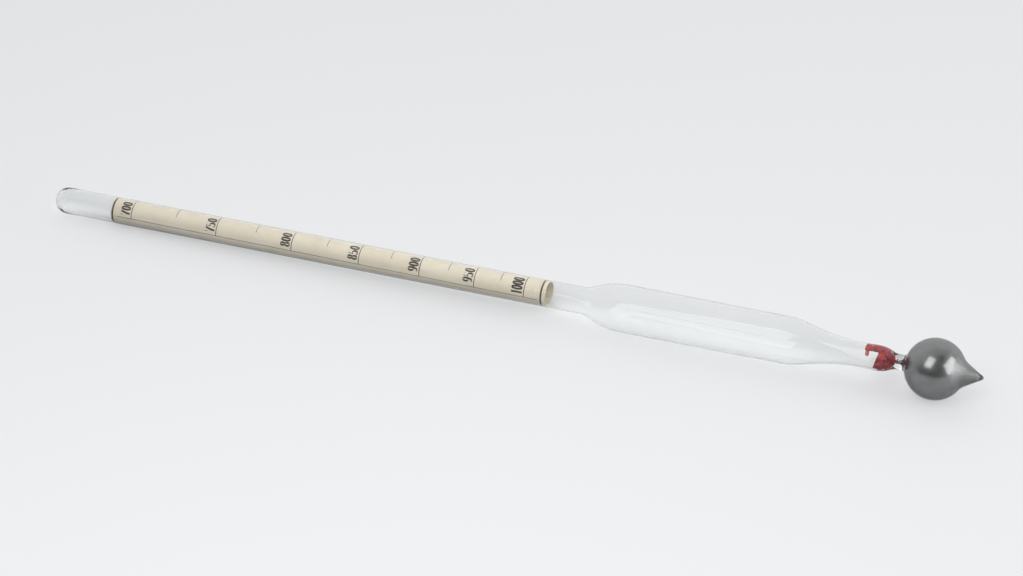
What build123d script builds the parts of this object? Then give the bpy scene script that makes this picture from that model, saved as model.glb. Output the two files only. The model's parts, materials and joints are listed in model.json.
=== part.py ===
from build123d import *
import os
from math import asin, atan2, cos, degrees, radians, sin, sqrt, tan

# A sealed glass hydrometer lying on a table. The round end of its stem and its weighted ball touch
# the table. +X runs from the stem to the ball and +Z is up. The origin is on the table, below the
# middle of the glass. Stations are millimetres along the glass from the closed end of its stem, and
# radii are from the glass's own axis. Angles around the axis are in degrees from +Y towards +Z.

# Stem, a thin tube with a round closed end
stem_radius = 3.8
stem_wall = 0.32
stem_end_wall = 0.7

# Fused shoulder between the stem and the float
shoulder_start = 162.3
shoulder_points = [(167.4, 5.34), (171.4, 6.4)]
shoulder_end = 176.0

# Float, a tube that narrows very slightly towards the ball
float_radius_top = 6.72
float_radius_bottom = 6.56
float_wall = 0.36
float_end = 221.4

# Taper from the float to the waist, and the slight crown that holds the wax
taper_points = [(226.9, 5.76), (232.4, 4.5), (238.0, 3.66)]
taper_first_slope = -0.01
waist_station = 243.4
waist_radius = 3.38
waist_wall = 0.45
crown_station = 247.2
crown_radius = 3.48

# Neck, thick-walled around a capillary, with the funnel that leads into it
neck_points = [(249.6, 3.18), (251.2, 2.58)]
neck_start = 253.0
neck_radius = 2.14
neck_fillet = 1.0
funnel_points = [(245.8, 2.96), (247.4, 2.66), (248.7, 1.6), (250.2, 0.64)]
capillary_start = 251.6
capillary_radius = 0.38
capillary_flare = 2.0

# Ball and its drawn-out tip, which ends in a small solid bead
ball_station = 263.2
ball_radius = 8.4
ball_wall = 0.45
ball_ends_at = 34.0
tip_cone_start = 272.3
tip_half_angle = 30.7
tip_wall = 0.5
bead_radius = 0.6
tip_cavity_round = 1.0
overall_length = 276.5

# Paper scale, one sheet rolled with a lap, lying on the bottom of the bore
paper_start = 19.1
paper_end = 152.9
paper_radius = 3.45
paper_thickness = 0.12
lap_gap = 0.01
lap_angle = 40.0
seam_angle = 250.0

# Sealing wax: a plug with a leaning, broken face, a smear up the wall and a drip from the smear
wax_face = 246.7
wax_face_lean = 9.0
wax_end = 252.2
smear_start = 244.0
smear_thickness = 0.45
smear_angles = (47.0, 113.0)
drip_station = 244.85
drip_width = 0.9
drip_end_angle = 138.0
face_hollow = (0.8, 1.7)
chip_radius = 0.45
chip_angles = [222.0, 318.0, 8.0]

# The table touches the round end of the stem and the ball, so the glass leans by this much
tilt = degrees(asin((ball_radius - stem_radius) / (ball_station - stem_radius)))
middle = overall_length / 2
middle_height = stem_radius + (middle - stem_radius) * sin(radians(tilt))


def lay_on_table(shape):
    """Takes a shape built along X from station 0 to its place on the table."""
    return Pos(0, 0, middle_height) * Rot(0, -tilt, 0) * Pos(-middle, 0, 0) * shape


def arc(centre, radius, first, last):
    return CenterArc(centre, radius, first, last - first)


def curve(points, first_slope=0.0, last_slope=0.0):
    return Spline(*points, tangents=[(1, first_slope), (1, last_slope)])


def inset(points, wall):
    return [(station, radius - wall) for station, radius in points]


def turned(edges):
    """Solid of revolution from a profile that starts and ends on the glass's axis."""
    closing = Line(edges[-1] @ 1, edges[0] @ 0)
    return revolve(make_face(Wire([*edges, closing])), Axis.X, 360)


def flare_into_ball(bore, fillet, sphere):
    """Arc from a straight bore into the ball, tangent to both, and the angle where they meet."""
    rise = bore + fillet
    run = sqrt((sphere + fillet) ** 2 - rise ** 2)
    lead = degrees(atan2(rise, run))
    return arc((ball_station - run, rise), fillet, 270, 360 - lead), 180 - lead


def ball_and_tip(sphere, wall, end_round, first_angle):
    """Ball, the hollow curve into the tip's cone, the cone and its rounded end."""
    slope = radians(tip_half_angle)
    apex = overall_length - bead_radius + (bead_radius - wall) / sin(slope)
    end_centre = apex - end_round / sin(slope)
    cone_start = tip_cone_start - wall * sin(slope)
    leave = radians(ball_ends_at)
    ball = arc((ball_station, 0), sphere, first_angle, ball_ends_at)
    end = arc((end_centre, 0), end_round, 90 - tip_half_angle, 0)
    cone = Line((cone_start, (apex - cone_start) * tan(slope)), end @ 0)
    hollow = Spline(ball @ 1, cone @ 0, tangents=[(sin(leave), -cos(leave)), (cos(slope), -sin(slope))])
    return [ball, hollow, cone, end]


def glass_outside():
    stem_end = arc((stem_radius, 0), stem_radius, 180, 90)
    stem = Line(stem_end @ 1, (shoulder_start, stem_radius))
    shoulder = curve([stem @ 1, *shoulder_points, (shoulder_end, float_radius_top)])
    barrel = Line(shoulder @ 1, (float_end, float_radius_bottom))
    taper = curve([barrel @ 1, *taper_points, (waist_station, waist_radius)], taper_first_slope)
    crown = curve([taper @ 1, (crown_station, crown_radius), *neck_points, (neck_start, neck_radius)])
    flare, ball_angle = flare_into_ball(neck_radius, neck_fillet, ball_radius)
    neck = Line(crown @ 1, flare @ 0)
    tip = ball_and_tip(ball_radius, 0, bead_radius, ball_angle)
    return [stem_end, stem, shoulder, barrel, taper, crown, neck, flare, *tip]


def glass_inside():
    bore = stem_radius - stem_wall
    stem_end = arc((stem_end_wall + bore, 0), bore, 180, 90)
    stem = Line(stem_end @ 1, (shoulder_start, bore))
    shoulder = curve([stem @ 1, *inset([*shoulder_points, (shoulder_end, float_radius_top)], float_wall)])
    barrel = Line(shoulder @ 1, (float_end, float_radius_bottom - float_wall))
    taper = curve([barrel @ 1, *inset([*taper_points, (waist_station, waist_radius)], waist_wall)],
                  taper_first_slope)
    funnel = curve([taper @ 1, *funnel_points, (capillary_start, capillary_radius)])
    flare, ball_angle = flare_into_ball(capillary_radius, capillary_flare, ball_radius - ball_wall)
    capillary = Line(funnel @ 1, flare @ 0)
    tip = ball_and_tip(ball_radius - ball_wall, tip_wall, tip_cavity_round, ball_angle)
    return [stem_end, stem, shoulder, barrel, taper, funnel, capillary, flare, *tip]


def stretch(first, last, lean=0.0):
    """Block across the glass between two stations, its first face leaning back at the bottom."""
    size = 4 * ball_radius
    block = Pos(first, 0, 0) * Rot(0, lean, 0) * Pos(size / 2, 0, 0) * Box(size, size, size)
    return block & (Pos(last - size / 2, 0, 0) * Box(size, size, size))


def sector(angles, first, last):
    """Wedge about the axis between two angles and two stations."""
    rim = arc((0, 0), ball_radius, *angles)
    face = make_face(Wire([Line((0, 0), rim @ 0), rim, Line(rim @ 1, (0, 0))]))
    return Pos(first, 0, 0) * extrude(Plane.YZ * face, last - first, dir=(1, 0, 0))


def make_glass(cavity):
    """One fused piece of glass, hollow from the stem to the tip."""
    return turned(glass_outside()) - cavity


def make_paper():
    """One sheet, rolled. Its section is drawn as half-turns of falling radius, so that the sheet
    winds inwards and its last stretch lies under its own first edge."""
    half_pitch = (paper_thickness + lap_gap) / 2
    turns = [((0, 0), paper_radius, (0, 180)),
             ((-half_pitch, 0), paper_radius - half_pitch, (180, 360)),
             ((0, 0), paper_radius - 2 * half_pitch, (360, 360 + lap_angle))]
    outer = [arc(centre, radius, *span) for centre, radius, span in turns]
    inner = [arc(centre, radius - paper_thickness, *reversed(span)) for centre, radius, span in reversed(turns)]
    edges = [*outer, Line(outer[-1] @ 1, inner[0] @ 0), *inner, Line(inner[-1] @ 1, outer[0] @ 0)]
    section = Plane.YZ * Rot(0, 0, seam_angle) * make_face(Wire(edges))
    sag = stem_radius - stem_wall - paper_radius
    return Pos(paper_start, 0, -sag) * extrude(section, paper_end - paper_start, dir=(1, 0, 0))


def make_wax(cavity):
    """Plug of the crown and funnel, with a hollow in its face and chips out of the face's rim, and
    the film of wax that runs up the wall above it and ends in a drip."""
    bore = waist_radius - waist_wall
    core = Pos(wax_face, 0, 0) * Rot(0, 90, 0) * Cylinder(bore - smear_thickness, 4 * bore)
    smear = sector(smear_angles, smear_start, crown_station) - core
    drip_start = drip_station - drip_width / 2
    drip = sector((smear_angles[1] - 1, drip_end_angle), drip_start, drip_start + drip_width) - core
    drip_end = Rot(drip_end_angle - 90, 0, 0) * Pos(drip_station, 0, bore) * Cylinder(drip_width / 2, bore)
    depth, radius = face_hollow
    hollow = Pos(wax_face, 0, 0) * scale(Sphere(radius), by=(depth / radius, 1, 1))
    wax = (stretch(wax_face, wax_end, wax_face_lean) + smear + drip + (drip_end - core)) & cavity
    wax = wax - hollow
    for angle in chip_angles:
        wax = wax - Rot(angle, 0, 0) * Pos(wax_face, bore, 0) * Sphere(chip_radius)
    return wax


def make_ballast(cavity):
    """Metal filling of the ball, from the capillary into the tip."""
    return cavity & stretch(wax_end, overall_length)


def main():
    os.makedirs("parts", exist_ok=True)
    cavity = turned(glass_inside())
    pieces = {
        "glass_envelope": make_glass(cavity),
        "paper_scale": make_paper(),
        "wax_seal": make_wax(cavity),
        "ballast": make_ballast(cavity),
    }
    for name, piece in pieces.items():
        export_step(lay_on_table(piece), f"parts/{name}.step")


main()
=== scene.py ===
import json
from math import cos, degrees, hypot, pi, radians, sin

import bmesh
import bpy
import numpy as np
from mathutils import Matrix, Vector, noise


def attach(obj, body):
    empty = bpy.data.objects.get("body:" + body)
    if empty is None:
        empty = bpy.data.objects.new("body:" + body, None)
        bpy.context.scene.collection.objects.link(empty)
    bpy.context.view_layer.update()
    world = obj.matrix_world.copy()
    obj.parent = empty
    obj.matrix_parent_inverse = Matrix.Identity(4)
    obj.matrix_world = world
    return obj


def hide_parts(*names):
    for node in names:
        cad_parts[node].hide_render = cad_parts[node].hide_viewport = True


# A sealed glass hydrometer lying on a pale table. Stations are metres along the glass from the closed
# end of its stem, and radii are from the glass's own axis. Angles around the axis are in degrees from
# +Y towards +Z. Sizes that the frame doesn't give are named here in millimetres, times MM.

MM = 0.001
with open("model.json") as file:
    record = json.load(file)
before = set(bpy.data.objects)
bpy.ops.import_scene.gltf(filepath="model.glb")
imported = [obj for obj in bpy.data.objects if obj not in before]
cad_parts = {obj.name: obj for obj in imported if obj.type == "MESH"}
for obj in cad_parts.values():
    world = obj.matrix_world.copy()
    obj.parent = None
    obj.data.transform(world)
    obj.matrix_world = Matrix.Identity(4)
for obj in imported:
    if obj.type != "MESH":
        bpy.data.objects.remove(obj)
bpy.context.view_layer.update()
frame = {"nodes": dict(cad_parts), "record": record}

# The glass's own axis, from the stem that the record gives as a mount
stem = frame["record"]["mounts"][0]
along = -Vector(stem["axis"]).normalized()
aside = Vector((0, 1, 0))
upward = along.cross(aside)
mount_place = Vector(stem["pos_m"])
closed_end = min((v.co - mount_place).dot(along) for v in frame["nodes"]["glass_envelope"].data.vertices)
start = mount_place + along * closed_end

# Mesh fineness. Rows of the CAD's sections closer than LEAST_STEP are left out, and straight runs get
# points STRAIGHT_STEP apart. The smooth sections turn by no more than PROFILE_TURN degrees in a step
GLASS_AROUND = 96
WELD = 0.0001 * MM
LEAST_STEP = 0.25 * MM
STRAIGHT_STEP = 4 * MM
PROFILE_SAMPLES = 12000
PROFILE_STEP = 2 * MM
PROFILE_TURN = 7
PAPER_STEPS_AROUND = 144
PAPER_STEPS_ALONG = 24
BOW_STEPS = 30
TICK_STEPS = 60
RING_STEPS = 144

# The ballast reaches this far into the glass wall, so that no air lies between them, and its flat
# start is this share of the bore there
CONTACT = 0.02 * MM
BALLAST_START_SHARE = 0.98

# The ballast lies smooth in the ball and loosely in the tip, from one to the other of these places
# on X in millimetres, with this much more roughness
LOOSE_FROM = 130.2
LOOSE_TO = 133.2
LOOSE_ROUGHNESS = 0.4

# The lamp-blown walls are thinner in places than the CAD's, and the funnel of the waist reaches deeper
# into the neck: what is added to the inner radius, and to the station, at these stations. The bore's
# closed end lies deeper in the stem's end by END_DEEPER_BY
THIN_STATIONS = [2 * MM, 6 * MM, 158 * MM, 176 * MM, 221 * MM, 240 * MM]
THINNED_BY = [0, 0.12 * MM, 0.12 * MM, 0.05 * MM, 0.05 * MM, 0]
FUNNEL_STATIONS = [245.6 * MM, 248.7 * MM, 250.6 * MM, 253.4 * MM]
DEEPER_BY = [0, 1.8 * MM, 2.0 * MM, 0]
END_DEEPER_BY = 0.25 * MM

# Sealing wax: where it meets the ballast, its fineness, how far its broken surface swells and
# wanders, and the size, fall, narrowing and number of layers of its lumps
WAX_END = 253.2 * MM
WAX_VOXEL = 0.09 * MM
WAX_SWELL = 0.05 * MM
WAX_ROUGH = 0.09 * MM
WAX_LUMP = 1.1 * MM
WAX_LAYERS = (1.0, 2.0, 3)

# Up to this station the middle of the wax follows the deeper funnel by this share only
WAX_MIDDLE_ENDS = 251 * MM
WAX_MIDDLE_SHARE = 0.4

# Rolled paper, which lies on the bore's bottom with its seam there. Edges above PAPER_CREASE degrees
# are sharp
PAPER_RADIUS = 3.56 * MM
PAPER_THICKNESS = 0.12 * MM
PAPER_PITCH = 0.13 * MM
PAPER_SEAM = 250
PAPER_LAP = 40
PAPER_SAG = 0.02 * MM
PAPER_CREASE = 50

# Printing: how far the ink stands out of the paper and reaches into it, and the marks of the scale
INK_LIFT = 0.012 * MM
INK_DEPTH = 0.004 * MM
MARK_TOP_VALUE = 1000
MARK_TOP_STATION = 146.6 * MM
MARK_LOW_VALUE = 700
MARK_LOW_STATION = 25.65 * MM
MARK_STEP = 25

# Base line, from one station and angle to the other, ticks, whose ends are angles, and end rings
BASE_LINE = [(21 * MM, 176), (150.5 * MM, 185)]
BASE_LINE_WIDTH = 0.15 * MM
TICK_TOP = 42
SHORT_TICK_FOOT = 127
LONG_TICK_WIDTH = 0.22 * MM
SHORT_TICK_WIDTH = 0.16 * MM
RING_STATIONS = [19.6 * MM, 151.6 * MM]
RING_WIDTH = 0.5 * MM

# Numerals: height, advance and the angle where the first one starts, the share of the advance that
# each fills, the gap between feet and tick, and the pen's widths
NUMERAL_SIZE = (3.0 * MM, 1.42 * MM, 163)
LAST_NUMERAL_SIZE = (3.35 * MM, 1.27 * MM, 174)
NUMERAL_FILL = 0.96
NUMERAL_GAP = 0.45 * MM
PEN_THICK = 0.54 * MM
PEN_THIN = 0.16 * MM
PEN_BAR = 0.32 * MM

# Camera
CAMERA_AZIMUTH = 21.57
CAMERA_ELEVATION = 32.2
CAMERA_DISTANCE = 0.9993
CAMERA_TARGET = (0.00343, 0, 0.00578)
CAMERA_LENS = 126.69
CAMERA_SENSOR = 36

# Table, half its width, and the colour that evens out what the camera sees of it, by this share
FLOOR_HALF = 4.0
FLOOR_SHOWN = (0.89, 0.893, 0.905, 1)
FLOOR_EVENED = 0.5

# Softboxes, which face the ball: place, width and height, and the radiance that their fronts show
LAMPS_FACE = (0.125, 0, 0.0085)
FRONT_LAMP = (0.015, -0.27, 0.38)
FRONT_LAMP_SIZE = (0.24, 0.34)
FRONT_LAMP_RADIANCE = 3.0
RIGHT_LAMP = (1.92, -0.06, 0.84)
RIGHT_LAMP_SIZE = (2.0, 1.5)
RIGHT_LAMP_RADIANCE = 3.2

# Surroundings: how their brightness falls towards the ball's side, where it starts, and their colour
# where the camera sees them
WORLD_SLANT = -0.55
WORLD_START = 0.34
WORLD_SHOWN = (0.83, 0.84, 0.855)


def spot(station, radius, angle):
    """Point at a station, a radius and an angle around the glass's axis."""
    turn = radians(angle)
    return start + along * station + (aside * cos(turn) + upward * sin(turn)) * radius


def seen_from_axis(point):
    """Station and radius of a point."""
    run = point - start
    station = run.dot(along)
    return station, (run - along * station).length


def new_object(name, verts, faces, material, smooth=True):
    mesh = bpy.data.meshes.new(name)
    mesh.from_pydata([tuple(v) for v in verts], [], faces)
    mesh.validate()
    piece = bpy.data.objects.new(name, mesh)
    bpy.context.scene.collection.objects.link(piece)
    mesh.materials.append(material)
    mesh.polygons.foreach_set("use_smooth", [smooth] * len(mesh.polygons))
    return piece


# Node helpers

class Nodes:
    """A material's or world's node tree, with short calls for what the materials below use."""

    def __init__(self, owner):
        owner.use_nodes = True
        self.tree = owner.node_tree
        self.tree.nodes.clear()

    def feed(self, socket, value):
        """Links a socket to another node's output, or sets its value."""
        if isinstance(value, bpy.types.NodeSocket):
            self.tree.links.new(value, socket)
        else:
            socket.default_value = value

    def add(self, kind, inputs=None, **settings):
        node = self.tree.nodes.new(kind)
        for name, value in settings.items():
            setattr(node, name, value)
        for name, value in (inputs or {}).items():
            self.feed(node.inputs[name], value)
        return node

    def place(self, scale=(1, 1, 1)):
        """Object coordinates in millimetres, stretched by scale."""
        coordinates = self.add("ShaderNodeTexCoord").outputs["Object"]
        size = [1000 * s for s in scale]
        return self.add("ShaderNodeMapping", {"Vector": coordinates, "Scale": size}).outputs["Vector"]

    def noise(self, place, scale, detail=3.0, roughness=0.5):
        inputs = {"Vector": place, "Scale": scale, "Detail": detail, "Roughness": roughness}
        return self.add("ShaderNodeTexNoise", inputs).outputs["Fac"]

    def ramp(self, factor, *stops):
        """Colour ramp from (position, colour) stops."""
        node = self.add("ShaderNodeValToRGB", {"Fac": factor})
        elements = node.color_ramp.elements
        for index, (position, colour) in enumerate(stops):
            element = elements[index] if index < 2 else elements.new(position)
            element.position = position
            element.color = (*colour, 1)
        return node.outputs["Color"]

    def mix(self, factor, first, second, blend="MIX"):
        """Mix of two colours, through the sockets that the node has for colours."""
        node = self.add("ShaderNodeMix", data_type="RGBA", blend_type=blend)
        self.feed(node.inputs[0], factor)
        for socket, colour in ((node.inputs[6], first), (node.inputs[7], second)):
            self.feed(socket, (*colour, 1) if isinstance(colour, tuple) else colour)
        return node.outputs[2]

    def maths(self, operation, *values):
        node = self.add("ShaderNodeMath", operation=operation)
        for socket, value in zip(node.inputs, values):
            self.feed(socket, value)
        return node.outputs[0]

    def either(self, factor, first, second):
        """The first shader where the factor is 0, and the second where it is 1."""
        node = self.add("ShaderNodeMixShader", {"Fac": factor})
        self.feed(node.inputs[1], first.outputs[0])
        self.feed(node.inputs[2], second.outputs[0])
        return node.outputs[0]

    def bump(self, height, distance, strength):
        inputs = {"Height": height, "Distance": distance, "Strength": strength}
        return self.add("ShaderNodeBump", inputs).outputs["Normal"]

    def surface(self, shader):
        self.add("ShaderNodeOutputMaterial", {"Surface": shader})


def material(name):
    made = bpy.data.materials.new(name)
    return made, Nodes(made)


# Materials

def glass_material():
    made, nodes = material("drawn_glass")
    place = nodes.place()
    wavy = nodes.noise(nodes.place((0.15, 1, 1)), 0.35, 2)
    tint = nodes.ramp(nodes.noise(place, 0.05), (0.3, (0.95, 0.958, 0.955)), (0.7, (0.965, 0.97, 0.967)))
    shader = nodes.add("ShaderNodeBsdfPrincipled", {
        "Base Color": tint,
        "Roughness": 0.0,
        "IOR": 1.5,
        "Transmission Weight": 1.0,
        "Specular Tint": (0.4, 0.4, 0.4, 1),
        "Normal": nodes.bump(wavy, 0.02 * MM, 0.5),
    })
    # Lamps shine through the glass, and it takes more of their light at its edges
    facing = nodes.add("ShaderNodeLayerWeight", {"Blend": 0.5}).outputs["Facing"]
    middle, edge = (0.9, 0.905, 0.905), (0.6, 0.61, 0.61)
    shade = nodes.ramp(facing, (0.0, (0.95, 0.955, 0.955)), (0.7, middle), (1.0, edge))
    clear = nodes.add("ShaderNodeBsdfTransparent", {"Color": shade})
    shadow = nodes.add("ShaderNodeLightPath").outputs["Is Shadow Ray"]
    nodes.surface(nodes.either(shadow, shader, clear))
    return made


def paper_material():
    made, nodes = material("aged_paper")
    fibres = nodes.noise(nodes.place((0.4, 1, 1)), 6.0, 4, 0.65)
    blotches = nodes.noise(nodes.place(), 0.12, 3, 0.6)
    base = nodes.ramp(blotches, (0.35, (0.73, 0.66, 0.535)), (0.65, (0.79, 0.725, 0.61)))
    grain = nodes.ramp(fibres, (0.3, (0.93, 0.92, 0.9)), (0.7, (1, 1, 1)))
    colour = nodes.mix(1.0, base, grain, "MULTIPLY")
    shader = nodes.add("ShaderNodeBsdfPrincipled", {
        "Base Color": colour,
        "Roughness": 0.85,
        "Specular IOR Level": 0.25,
        "Normal": nodes.bump(fibres, 0.02 * MM, 0.6),
    })
    nodes.surface(shader.outputs[0])
    return made


def ink_material():
    made, nodes = material("printing_ink")
    patches = nodes.noise(nodes.place(), 3.5, 4, 0.7)
    colour = nodes.ramp(patches, (0.35, (0.028, 0.024, 0.024)), (0.75, (0.11, 0.095, 0.085)))
    shader = nodes.add("ShaderNodeBsdfPrincipled", {"Base Color": colour, "Roughness": 0.7})
    nodes.surface(shader.outputs[0])
    return made


def wax_material():
    made, nodes = material("sealing_wax")
    patches = nodes.noise(nodes.place(), 0.55, 4, 0.6)
    purple, dark, bright = (0.16, 0.035, 0.07), (0.34, 0.04, 0.04), (0.47, 0.06, 0.05)
    colour = nodes.ramp(patches, (0.36, purple), (0.5, dark), (0.66, bright))
    shader = nodes.add("ShaderNodeBsdfPrincipled", {
        "Base Color": colour,
        "Roughness": nodes.maths("MULTIPLY_ADD", patches, 0.4, 0.1),
        "Normal": nodes.bump(nodes.noise(nodes.place(), 2.5, 4), 0.08 * MM, 0.6),
    })
    nodes.surface(shader.outputs[0])
    return made


def ballast_material():
    made, nodes = material("dark_metal_filling")
    grain = nodes.noise(nodes.place(), 5.0, 5, 0.7)
    cloud = nodes.noise(nodes.place(), 0.35, 3, 0.5)
    colour = nodes.ramp(cloud, (0.3, (0.21, 0.213, 0.215)), (0.7, (0.26, 0.262, 0.263)))
    far = nodes.add("ShaderNodeSeparateXYZ", {"Vector": nodes.place()}).outputs["X"]
    loose = nodes.add("ShaderNodeMapRange", {
        "Value": far,
        "From Min": LOOSE_FROM,
        "From Max": LOOSE_TO,
        "To Max": LOOSE_ROUGHNESS,
    })
    smooth = nodes.maths("MULTIPLY_ADD", grain, 0.16, 0.14)
    shader = nodes.add("ShaderNodeBsdfPrincipled", {
        "Base Color": colour,
        "Metallic": 0.85,
        "Roughness": nodes.maths("ADD", smooth, loose.outputs["Result"]),
        "Normal": nodes.bump(grain, 0.006 * MM, 0.4),
    })
    nodes.surface(shader.outputs[0])
    return made


# Glass

def shells(node):
    """The closed surfaces of a turned node, each as rows of station and radius, the widest first."""
    mesh = bmesh.new()
    mesh.from_mesh(frame["nodes"][node].data)
    bmesh.ops.remove_doubles(mesh, verts=mesh.verts, dist=WELD)
    waiting = set(mesh.verts)
    found = []
    while waiting:
        shell = set()
        edge = {waiting.pop()}
        while edge:
            shell |= edge
            edge = {e.other_vert(v) for v in edge for e in v.link_edges} - shell
        waiting -= shell
        rows = sorted(seen_from_axis(v.co) for v in shell)
        kept = [rows[0]]
        for row in rows[1:-1]:
            if hypot(row[0] - kept[-1][0], row[1] - kept[-1][1]) >= LEAST_STEP:
                kept.append(row)
        found.append(np.array(kept + [rows[-1]]))
    mesh.free()
    return sorted(found, key=lambda rows: -rows[:, 1].max())


def spline(knots, values, wanted):
    """Natural cubic spline through values at knots, read at the wanted places."""
    step = np.diff(knots)
    slope = np.diff(values, axis=0) / step[:, None]
    count = len(knots)
    system = np.eye(count)
    right = np.zeros_like(values)
    for i in range(1, count - 1):
        system[i, i - 1:i + 2] = step[i - 1], 2 * (step[i - 1] + step[i]), step[i]
        right[i] = 6 * (slope[i] - slope[i - 1])
    bend = np.linalg.solve(system, right)
    i = np.clip(np.searchsorted(knots, wanted) - 1, 0, count - 2)
    after = (wanted - knots[i])[:, None]
    before = (knots[i + 1] - wanted)[:, None]
    gap = step[i][:, None]
    return ((bend[i] * before ** 3 + bend[i + 1] * after ** 3) / (6 * gap)
            + (values[i] / gap - bend[i] * gap / 6) * before
            + (values[i + 1] / gap - bend[i + 1] * gap / 6) * after)


def filled_in(rows):
    """The rows, with more points on long straight runs, so that a curve through them stays there."""
    gaps = np.hypot(*np.diff(rows, axis=0).T)
    parts = [np.linspace(low, high, int(gap / STRAIGHT_STEP) + 1, endpoint=False)
             for low, high, gap in zip(rows, rows[1:], gaps)]
    return np.vstack([*parts, rows[-1:]])


def smooth_profile(rows):
    """The section as a smooth curve, with more of its points where it turns more."""
    rows = filled_in(rows)
    # Both ends go on across the axis as mirror images, which makes them round there
    mirror = np.array([1, -1])
    line = np.vstack([rows[[3, 2, 1]] * mirror, rows, rows[[-2, -3, -4]] * mirror])
    knots = np.concatenate([[0], np.cumsum(np.hypot(*np.diff(line, axis=0).T))])
    first, last = knots[3], knots[-4]
    fine = np.linspace(first, last, PROFILE_SAMPLES)
    points = spline(knots, line, fine)
    heading = np.unwrap(np.arctan2(*np.diff(points, axis=0).T[::-1]))
    bend = np.abs(np.diff(heading, append=heading[-1]))
    used = np.cumsum(np.diff(fine) / PROFILE_STEP + bend / radians(PROFILE_TURN))
    used = np.concatenate([[0], used])
    wanted = np.interp(np.linspace(0, used[-1], int(used[-1]) + 2), used, fine)
    result = spline(knots, line, wanted)
    result[[0, -1], 1] = 0
    return result


def turned(profile, outward):
    """Vertices and faces of a profile turned about the glass's axis. Its ends on the axis are poles."""
    verts, faces, rings = [], [], []
    for station, radius in profile:
        if radius < WELD:
            rings.append([len(verts)] * GLASS_AROUND)
            verts.append(spot(station, 0, 0))
            continue
        rings.append(range(len(verts), len(verts) + GLASS_AROUND))
        for i in range(GLASS_AROUND):
            verts.append(spot(station, radius, 360 * i / GLASS_AROUND))
    for low, high in zip(rings, rings[1:]):
        for i in range(GLASS_AROUND):
            j = (i + 1) % GLASS_AROUND
            face = [low[i], high[i], high[j], low[j]]
            face = [v for k, v in enumerate(face) if v != face[k - 1]]
            faces.append(face[::-1] if outward else face)
    return verts, faces


def joined(*parts):
    """Several lists of vertices and faces as one."""
    verts, faces = [], []
    for more_verts, more_faces in parts:
        faces += [[v + len(verts) for v in face] for face in more_faces]
        verts += more_verts
    return verts, faces


def eased(wanted, places, values):
    """Values at places, joined by smooth steps."""
    wanted = np.atleast_1d(wanted)
    i = np.clip(np.searchsorted(places, wanted) - 1, 0, len(places) - 2)
    low, high = np.take(places, i), np.take(places, i + 1)
    part = np.clip((wanted - low) / (high - low), 0, 1)
    return np.take(values, i) + (np.take(values, i + 1) - np.take(values, i)) * part ** 2 * (3 - 2 * part)


def deeper(station):
    """How much deeper the funnel's wall lies than the CAD's at a station."""
    return float(eased(station, FUNNEL_STATIONS, DEEPER_BY)[0])


def reshaped(rows):
    """The inner section with its thinner walls and its deeper funnel."""
    stations, radii = rows[:, 0], rows[:, 1]
    deeper_by = eased(stations, FUNNEL_STATIONS, DEEPER_BY)
    end_by = eased(stations, [0, THIN_STATIONS[1]], [END_DEEPER_BY, 0])
    thinner_by = eased(stations, THIN_STATIONS, THINNED_BY) * (radii > WELD)
    return np.column_stack([stations + deeper_by - end_by, radii + thinner_by])


def make_glass(outer, inner, finish):
    outside = turned(outer, outward=True)
    inside = turned(inner, outward=False)
    return new_object("glass_body", *joined(outside, inside), finish)


def make_ballast(inner, finish):
    """The filling of the ball, a little larger than the cavity so that it wets the glass."""
    filled = inner[inner[:, 0] > WAX_END] + [0, CONTACT]
    first = [[WAX_END, 0], [WAX_END, filled[0][1] * BALLAST_START_SHARE]]
    last = [[filled[-1][0] + CONTACT, 0]]
    filled[-1][0] += CONTACT / 2
    profile = np.vstack([first, filled, last])
    return new_object("ball_filling", *turned(profile, outward=True), finish)


# Paper and printing

def sheet_radius(turn):
    """Outer radius of the rolled sheet at a number of degrees past its seam."""
    return PAPER_RADIUS - PAPER_PITCH * max(0, turn - 180) / 180


def paper_spot(station, angle, lift=0.0):
    """Point on the printed side of the paper, at a station and an angle between seam and lap."""
    turn = (angle - PAPER_SEAM) % 360
    return spot(station, sheet_radius(turn) + lift, angle) - upward * PAPER_SAG


def make_paper(finish):
    stations = [seen_from_axis(v.co)[0] for v in frame["nodes"]["paper_scale"].data.vertices]
    first, last = min(stations), max(stations)
    turns = [(360 + PAPER_LAP) * i / PAPER_STEPS_AROUND for i in range(PAPER_STEPS_AROUND + 1)]
    loop = [(t, 0) for t in turns] + [(t, PAPER_THICKNESS) for t in reversed(turns)]
    verts, faces = [], []
    for k in range(PAPER_STEPS_ALONG + 1):
        station = first + (last - first) * k / PAPER_STEPS_ALONG
        for turn, depth in loop:
            verts.append(spot(station, sheet_radius(turn) - depth, PAPER_SEAM + turn) - upward * PAPER_SAG)
    size = len(loop)
    for k in range(PAPER_STEPS_ALONG):
        for i in range(size):
            j = (i + 1) % size
            faces.append([k * size + i, k * size + j, (k + 1) * size + j, (k + 1) * size + i])
    for k, flip in ((0, True), (PAPER_STEPS_ALONG, False)):
        for i in range(PAPER_STEPS_AROUND):
            face = [k * size + i, k * size + i + 1, (k + 1) * size - 2 - i, (k + 1) * size - 1 - i]
            faces.append(face[::-1] if flip else face)
    piece = new_object("rolled_paper", verts, faces, finish)
    piece.data.set_sharp_from_angle(angle=radians(PAPER_CREASE))
    return piece


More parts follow.
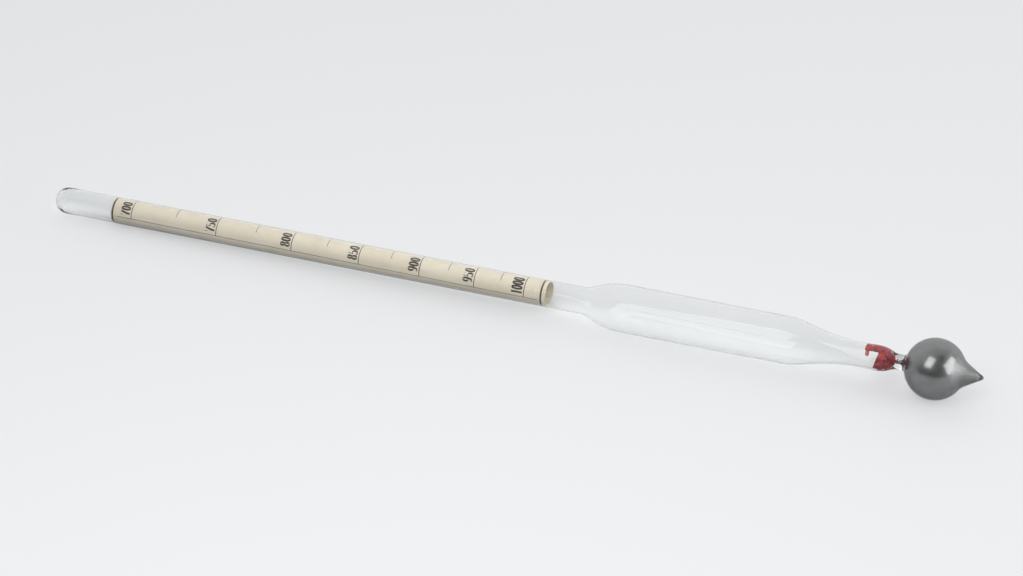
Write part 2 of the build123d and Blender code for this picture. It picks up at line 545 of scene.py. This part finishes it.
def ink_line(points, widths):
    """Thin closed ribbon of ink along points of station and arc length on the unrolled paper."""
    verts, faces = [], []
    for i, (station, arc) in enumerate(points):
        before, after = points[max(i - 1, 0)], points[min(i + 1, len(points) - 1)]
        run, rise = after[0] - before[0], after[1] - before[1]
        half = widths[i] / 2 / max(hypot(run, rise), WELD)
        for side, lift in ((1, INK_LIFT), (-1, INK_LIFT), (-1, -INK_DEPTH), (1, -INK_DEPTH)):
            angle = degrees((arc + side * run * half) / PAPER_RADIUS)
            verts.append(paper_spot(station - side * rise * half, angle, lift))
    for i in range(0, len(verts) - 4, 4):
        for j in range(4):
            k = (j + 1) % 4
            faces.append([i + j, i + 4 + j, i + 4 + k, i + k])
    end = len(verts) - 4
    faces += [[0, 1, 2, 3], [end + 3, end + 2, end + 1, end]]
    return verts, faces


def bow(x, y, across, high, first, last):
    """Arc of an oval about x, y, as points."""
    turns = [radians(first + (last - first) * i / BOW_STEPS) for i in range(BOW_STEPS + 1)]
    return [(x + across * cos(t), y + high * sin(t)) for t in turns]


def numeral(digit):
    """Pen strokes of a digit in a box 1 wide and 1 high, each with the width of its level parts. The
    scale has no 2, 3, 4 or 6, and the last strokes are those of 9."""
    if digit == "0":
        return [(bow(0.5, 0.5, 0.31, 0.46, 0, 360), PEN_THIN)]
    if digit == "1":
        return [([(0.52, 0.02), (0.52, 0.5), (0.52, 0.98)], PEN_THIN),
                ([(0.52, 0.96), (0.22, 0.8)], PEN_THIN), ([(0.2, 0.02), (0.84, 0.02)], PEN_THIN)]
    if digit == "5":
        return [([(0.24, 0.92), (0.84, 0.92)], PEN_BAR), ([(0.2, 0.96), (0.2, 0.54)], PEN_THIN),
                (bow(0.44, 0.32, 0.36, 0.28, 140, -150), PEN_THIN)]
    if digit == "7":
        return [([(0.1, 0.9), (0.88, 0.9)], PEN_BAR), ([(0.1, 0.98), (0.12, 0.76)], PEN_THIN),
                ([(0.88, 0.94), (0.62, 0.56), (0.48, 0.3), (0.44, 0.02)], PEN_THIN)]
    if digit == "8":
        return [(bow(0.5, 0.75, 0.27, 0.22, 0, 360), PEN_THIN),
                (bow(0.5, 0.28, 0.32, 0.25, 0, 360), PEN_THIN)]
    return [(bow(0.5, 0.7, 0.32, 0.27, 0, 360), PEN_THIN),
            (bow(0.38, 0.64, 0.44, 0.58, 0, -115), PEN_THIN)]


def pen_width(level, swells, steep):
    """Width of the pen, which grows where a stroke that swells runs steeply."""
    return level + (PEN_THICK - level) * steep ** 2 if swells else level


def ink_number(value, mark):
    """A number written round the paper, its feet towards the ball, beside the tick of its mark."""
    height, advance, first_angle = LAST_NUMERAL_SIZE if value == MARK_TOP_VALUE else NUMERAL_SIZE
    foot = mark - NUMERAL_GAP
    parts = []
    for place, digit in enumerate(str(value)):
        left = radians(first_angle) * PAPER_RADIUS - place * advance
        for points, level in numeral(digit):
            swells = level == PEN_THIN and len(points) > 2
            line, widths = [], []
            for i, (x, y) in enumerate(points):
                before, after = points[max(i - 1, 0)], points[min(i + 1, len(points) - 1)]
                run = (after[0] - before[0]) * advance
                rise = (after[1] - before[1]) * height
                steep = abs(rise) / max(hypot(run, rise), WELD)
                widths.append(pen_width(level, swells, steep))
                line.append((foot - y * height, left - x * advance * NUMERAL_FILL))
            parts.append(ink_line(line, widths))
    return parts


def around(station, first, last, width, steps=TICK_STEPS):
    """Ribbon of ink round the paper at a station, between two angles."""
    turns = [radians(first + (last - first) * i / steps) * PAPER_RADIUS for i in range(steps + 1)]
    return ink_line([(station, arc) for arc in turns], [width] * (steps + 1))


def make_printing(finish):
    """Numerals, ticks, base line and end rings of the density scale, spaced by the law of floating."""
    span = (MARK_TOP_STATION - MARK_LOW_STATION) / (MARK_TOP_VALUE / MARK_LOW_VALUE - 1)
    (line_start, start_angle), (line_end, end_angle) = BASE_LINE
    lean = (end_angle - start_angle) / (line_end - line_start)
    numerals, lines = [], []
    for value in range(MARK_LOW_VALUE, MARK_TOP_VALUE + 1, MARK_STEP):
        mark = MARK_TOP_STATION - span * (MARK_TOP_VALUE / value - 1)
        foot = start_angle + lean * (mark - line_start)
        if value % (2 * MARK_STEP):
            lines.append(around(mark, SHORT_TICK_FOOT, TICK_TOP, SHORT_TICK_WIDTH))
        else:
            lines.append(around(mark, foot, TICK_TOP, LONG_TICK_WIDTH))
            numerals += ink_number(value, mark)
    base = [(station, radians(angle) * PAPER_RADIUS) for station, angle in BASE_LINE]
    lines.append(ink_line(base, [BASE_LINE_WIDTH] * 2))
    for station in RING_STATIONS:
        lines.append(around(station, PAPER_SEAM + 1, PAPER_SEAM + 359, RING_WIDTH, RING_STEPS))
    return [new_object("scale_numerals", *joined(*numerals), finish, smooth=False),
            new_object("scale_lines", *joined(*lines), finish, smooth=False)]


# Sealing wax

def wax_shift(station, radius):
    """How much deeper a point of the wax lies than the CAD's."""
    share = min(1, radius / MM + WAX_MIDDLE_SHARE) if station < WAX_MIDDLE_ENDS else 1
    return deeper(station) * share


def make_wax(finish):
    """The CAD's plug, smear and drip, reaching into the deeper funnel, with a broken, uneven surface."""
    mesh = frame["nodes"]["wax_seal"].data.copy()
    for vertex in mesh.vertices:
        vertex.co += along * wax_shift(*seen_from_axis(vertex.co))
    piece = bpy.data.objects.new("wax_plug", mesh)
    bpy.context.scene.collection.objects.link(piece)
    remesh = piece.modifiers.new("remesh", "REMESH")
    remesh.mode = "VOXEL"
    remesh.voxel_size = WAX_VOXEL
    bpy.context.view_layer.update()
    even = bpy.data.meshes.new_from_object(piece.evaluated_get(bpy.context.evaluated_depsgraph_get()))
    piece.modifiers.clear()
    piece.data = even
    normals = [v.normal.copy() for v in even.vertices]
    for vertex, normal in zip(even.vertices, normals):
        wander = noise.fractal(vertex.co / WAX_LUMP, *WAX_LAYERS)
        vertex.co += normal * (WAX_SWELL + WAX_ROUGH * wander)
    even.materials.clear()
    even.materials.append(finish)
    even.polygons.foreach_set("use_smooth", [True] * len(even.polygons))
    return piece


# Setting

def make_floor():
    made, nodes = material("table_surface")
    cloud = nodes.noise(nodes.place(), 0.004, 2)
    colour = nodes.ramp(cloud, (0.3, (0.825, 0.832, 0.845)), (0.7, (0.835, 0.842, 0.855)))
    shader = nodes.add("ShaderNodeBsdfPrincipled", {"Base Color": colour, "Roughness": 0.6})
    # What the camera sees of the table is evened out a little, without more light on the object
    even = nodes.add("ShaderNodeEmission", {"Color": FLOOR_SHOWN, "Strength": 1.0})
    camera_ray = nodes.add("ShaderNodeLightPath").outputs["Is Camera Ray"]
    nodes.surface(nodes.either(nodes.maths("MULTIPLY", camera_ray, FLOOR_EVENED), shader, even))
    corners = [(x * FLOOR_HALF, y * FLOOR_HALF, 0) for x, y in ((-1, -1), (1, -1), (1, 1), (-1, 1))]
    floor = new_object("table_top", corners, [[0, 1, 2, 3]], made)


def make_lamp(name, place, size, radiance):
    """Softbox at a place that faces the ball, with the radiance that its front shows."""
    lamp = bpy.data.lights.new(name, "AREA")
    lamp.shape = "RECTANGLE"
    lamp.size, lamp.size_y = size
    lamp.energy = radiance * pi * size[0] * size[1]
    holder = bpy.data.objects.new(name, lamp)
    bpy.context.scene.collection.objects.link(holder)
    holder.location = place
    holder.rotation_mode = "QUATERNION"
    holder.rotation_quaternion = (Vector(place) - Vector(LAMPS_FACE)).to_track_quat("Z", "Y")


def make_world():
    world = bpy.data.worlds.new("studio")
    bpy.context.scene.world = world
    nodes = Nodes(world)
    direction = nodes.add("ShaderNodeTexCoord").outputs["Generated"]
    parts = nodes.add("ShaderNodeSeparateXYZ", {"Vector": direction})
    # Bright behind the object and at its stem's side, dark in front and beyond the ball
    behind = nodes.maths("MULTIPLY_ADD", parts.outputs["X"], WORLD_SLANT, parts.outputs["Y"])
    reach = nodes.maths("ADD", behind, WORLD_START)
    middle, bright = (0.55, 0.55, 0.555), (0.92, 0.925, 0.93)
    colour = nodes.ramp(reach, (0.0, (0.1, 0.1, 0.1)), (0.45, middle), (1.0, bright))
    camera_ray = nodes.add("ShaderNodeLightPath").outputs["Is Camera Ray"]
    shown = nodes.mix(camera_ray, colour, WORLD_SHOWN)
    light = nodes.add("ShaderNodeBackground", {"Color": shown, "Strength": 1.0})
    nodes.add("ShaderNodeOutputWorld", {"Surface": light.outputs[0]})


def make_camera():
    camera = bpy.data.cameras.new("camera")
    camera.lens = CAMERA_LENS
    camera.sensor_width = CAMERA_SENSOR
    camera.dof.use_dof = False
    holder = bpy.data.objects.new("camera", camera)
    bpy.context.scene.collection.objects.link(holder)
    turn, rise = radians(CAMERA_AZIMUTH), radians(CAMERA_ELEVATION)
    back = Vector((sin(turn) * cos(rise), -cos(turn) * cos(rise), sin(rise)))
    holder.location = Vector(CAMERA_TARGET) + back * CAMERA_DISTANCE
    holder.rotation_mode = "QUATERNION"
    holder.rotation_quaternion = (-back).to_track_quat("-Z", "Y")
    bpy.context.scene.camera = holder


def dress(piece, node):
    """Ties a piece to the object's one body and hides the CAD node that it stands for."""
    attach(piece, "root")
    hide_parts(node)


outer_rows, inner_rows = shells("glass_envelope")
outer = smooth_profile(outer_rows)
inner = reshaped(smooth_profile(inner_rows))
dress(make_glass(outer, inner, glass_material()), "glass_envelope")
dress(make_ballast(inner, ballast_material()), "ballast")
dress(make_paper(paper_material()), "paper_scale")
for piece in make_printing(ink_material()):
    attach(piece, "root")
dress(make_wax(wax_material()), "wax_seal")

make_floor()
make_lamp("softbox_front", FRONT_LAMP, FRONT_LAMP_SIZE, FRONT_LAMP_RADIANCE)
make_lamp("softbox_right", RIGHT_LAMP, RIGHT_LAMP_SIZE, RIGHT_LAMP_RADIANCE)
make_world()
make_camera()

bpy.context.scene.view_settings.view_transform = "Standard"
